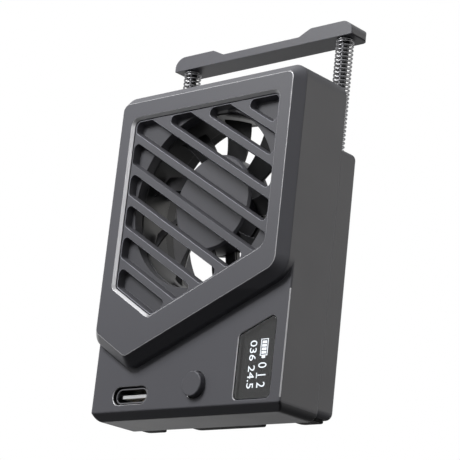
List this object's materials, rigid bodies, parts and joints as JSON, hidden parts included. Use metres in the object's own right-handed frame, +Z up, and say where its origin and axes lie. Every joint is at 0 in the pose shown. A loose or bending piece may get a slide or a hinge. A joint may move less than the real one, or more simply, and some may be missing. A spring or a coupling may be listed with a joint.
{
  "type": "clip-on camera cooling fan",
  "caption": "Battery-powered clip-on cooling fan for a camera back: slatted fan window, display, button, charging socket, and a sprung bar that wedges it in the screen recess.",
  "frame": {"origin": "middle of the footprint, at the height of the case's underside", "axes": "+X to the right as seen from the fan window, +Y towards the camera behind, +Z up towards the sprung bar"},
  "size_m": [0.0516, 0.0208, 0.0847],
  "materials": {
    "case": "fine matt texture, dark grey",
    "fan_plastic": "smooth satin, dark grey",
    "inner_plastic": "smooth, black",
    "steel": "ground and bright",
    "spring": "bright drawn wire",
    "bush": "dull turned",
    "copper": "enamelled winding wire",
    "board": "green solder mask",
    "lead": "amber film",
    "chip": "black moulded package",
    "black_screw": "black plated",
    "foot": "smooth black rubber",
    "white_plastic": "plain white",
    "lens": "polished, smoke tinted",
    "panel": "black display glass",
    "cell": "soft silver foil pouch",
    "magnet": "dark sintered"
  },
  "bodies": {
    "housing": {"front_shell": "case", "front_grille": "case", "rear_cover": "case", "chassis_plate": "case", "fan_frame": "fan_plastic", "fan_bearings": "steel", "stator_core": "steel", "stator_coils": "copper", "motor_board": "board", "fan_lead": "lead", "fan_screws": "steel", "plate_screws": "steel", "cover_screws": "black_screw", "board_screws": "steel", "guide_bushes": "bush", "spring_left": "spring", "spring_right": "spring", "foot_left": "foot", "foot_middle": "foot", "foot_right": "foot", "switch_body": "chip", "socket_shell": "steel", "socket_tongue": "white_plastic", "display_window": "lens", "display_panel": "panel", "display_holder": "inner_plastic", "display_flex": "lead", "main_board": "board", "board_chips": "chip", "battery": "cell", "battery_lead": "lead"},
    "bracket": {"top_bar": "case", "guide_rods": "steel"},
    "fan_rotor": {"impeller": "fan_plastic", "rotor_yoke": "steel", "magnet_ring": "magnet", "fan_shaft": "steel"},
    "button": {"button_cap": "case", "switch_plunger": "chip"}
  },
  "joints": [
    {"name": "bracket_slide", "type": "slide", "parent": "housing", "child": "bracket", "axis": [0, 0, 1], "range_m": [-0.011, 0], "stiffness_N_per_m": 250, "springref_m": 0.004, "deforming": ["spring_left", "spring_right"]},
    {"name": "fan_spin", "type": "hinge", "parent": "housing", "child": "fan_rotor", "pos_m": [0, 0, 0.0452], "axis": [0, 1, 0], "continuous": true},
    {"name": "button_press", "type": "slide", "parent": "housing", "child": "button", "axis": [0, 1, 0], "range_m": [0, 0.0004], "stiffness_N_per_m": 500}
  ]
}
